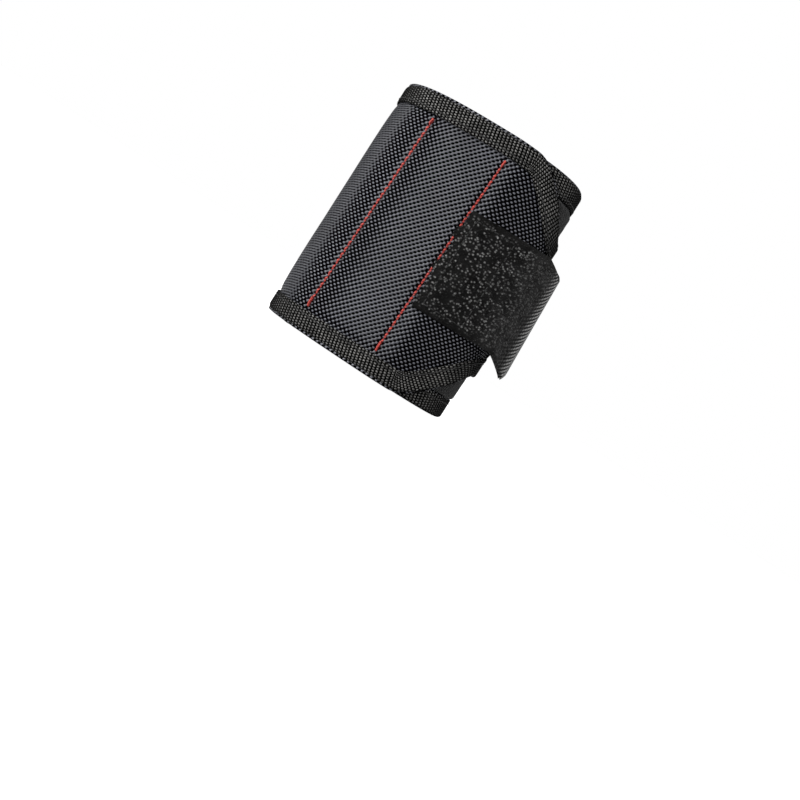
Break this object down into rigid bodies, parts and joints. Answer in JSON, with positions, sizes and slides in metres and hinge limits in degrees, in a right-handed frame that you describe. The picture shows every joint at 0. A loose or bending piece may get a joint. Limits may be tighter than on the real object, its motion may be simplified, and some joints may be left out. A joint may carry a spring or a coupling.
{
  "type": "wrist pin cushion",
  "caption": "Padded textile wrist cuff with hidden magnets that hold pins, closed by a hook-and-loop tab strap over a loop panel.",
  "frame": {"origin": "on the wrist's axis at the edge of the cuff nearest the hand", "axes": "+Z along the forearm away from the hand, -Y out of the pin pockets, +X towards the closing strap"},
  "size_m": [0.0806, 0.0531, 0.09],
  "materials": {
    "ballistic_nylon": "coarse basket weave with a dull sheen",
    "lining_mesh": "soft mesh",
    "foam": "closed-cell foam",
    "magnet": "nickel-plated disc",
    "binding_webbing": "ribbed webbing",
    "loop_pile": "matte brushed loop pile",
    "hook_pile": "stiff hook pile",
    "strap_tape": "woven fastener tape",
    "red_thread": "sewing thread",
    "black_thread": "sewing thread"
  },
  "bodies": {
    "palm": {"arm_binding_palm": "binding_webbing", "hand_binding_palm": "binding_webbing", "lining_palm": "lining_mesh", "loop_panel_palm": "loop_pile", "outer_fabric_palm": "ballistic_nylon"},
    "pocket_1": {"arm_binding_pocket_1": "binding_webbing", "hand_binding_pocket_1": "binding_webbing", "lining_pocket_1": "lining_mesh", "magnets_pocket_1": "magnet", "outer_fabric_pocket_1": "ballistic_nylon", "pad_pocket_1": "foam", "pocket_thread_1": "red_thread", "pocket_thread_2": "red_thread"},
    "pocket_2": {"arm_binding_pocket_2": "binding_webbing", "hand_binding_pocket_2": "binding_webbing", "lining_pocket_2": "lining_mesh", "magnets_pocket_2": "magnet", "outer_fabric_pocket_2": "ballistic_nylon", "pad_pocket_2": "foam", "pocket_thread_3": "red_thread"},
    "pocket_3": {"arm_binding_pocket_3": "binding_webbing", "hand_binding_pocket_3": "binding_webbing", "lining_pocket_3": "lining_mesh", "magnets_pocket_3": "magnet", "outer_fabric_pocket_3": "ballistic_nylon", "pad_pocket_3": "foam", "pocket_thread_4": "red_thread"},
    "tab": {"binding_tab": "binding_webbing", "lining_tab": "lining_mesh", "outer_fabric_tab": "ballistic_nylon", "strap_sewn_tape": "strap_tape", "strap_thread": "black_thread"},
    "strap_root": {"strap_bow_hooks": "hook_pile", "strap_bow_tape": "strap_tape"},
    "strap_tip": {"strap_tip_hooks": "hook_pile", "strap_tip_tape": "strap_tape"},
    "loop_side": {"arm_binding_loop_side": "binding_webbing", "hand_binding_loop_side": "binding_webbing", "lining_loop_side": "lining_mesh", "loop_panel_loop_side": "loop_pile", "outer_fabric_loop_side": "ballistic_nylon"},
    "loop_end": {"binding_loop_end": "binding_webbing", "lining_loop_end": "lining_mesh", "loop_panel_loop_end": "loop_pile", "outer_fabric_loop_end": "ballistic_nylon"}
  },
  "joints": [
    {"name": "seam_1_fold", "type": "hinge", "parent": "palm", "child": "pocket_1", "pos_m": [-0.02268, 0.02282, 0.045], "axis": [0, 0, -1], "range_deg": [0, 12]},
    {"name": "seam_2_fold", "type": "hinge", "parent": "pocket_1", "child": "pocket_2", "pos_m": [-0.03717, -0.00254, 0.045], "axis": [0, 0, -1], "range_deg": [0, 28]},
    {"name": "seam_3_fold", "type": "hinge", "parent": "pocket_2", "child": "pocket_3", "pos_m": [-0.0186, -0.02527, 0.045], "axis": [0, 0, -1], "range_deg": [0, 48]},
    {"name": "tab_lift", "type": "hinge", "parent": "pocket_3", "child": "tab", "pos_m": [0.00935, -0.02727, 0.045], "axis": [0, 0, -1], "range_deg": [0, 80]},
    {"name": "strap_peel", "type": "hinge", "parent": "tab", "child": "strap_root", "pos_m": [0.02928, -0.01788, 0.045], "axis": [0, 0, -1], "range_deg": [0, 120]},
    {"name": "strap_tip_peel", "type": "hinge", "parent": "strap_root", "child": "strap_tip", "pos_m": [0.04054, 0.01005, 0.045], "axis": [0, 0, -1], "range_deg": [0, 96]},
    {"name": "loop_side_fold", "type": "hinge", "parent": "palm", "child": "loop_side", "pos_m": [0.01386, 0.02295, 0.045], "axis": [0, 0, 1], "range_deg": [0, 16]},
    {"name": "loop_end_fold", "type": "hinge", "parent": "loop_side", "child": "loop_end", "pos_m": [0.03312, -0.00649, 0.045], "axis": [0, 0, 1], "range_deg": [0, 24]}
  ],
  "couplings": [
    {"joint": "seam_3_fold", "follows": "tab_lift", "ratio": 0.6},
    {"joint": "seam_2_fold", "follows": "tab_lift", "ratio": 0.35},
    {"joint": "seam_1_fold", "follows": "tab_lift", "ratio": 0.15},
    {"joint": "strap_tip_peel", "follows": "tab_lift", "ratio": 1.2},
    {"joint": "loop_side_fold", "follows": "tab_lift", "ratio": 0.2},
    {"joint": "loop_end_fold", "follows": "tab_lift", "ratio": 0.3}
  ]
}
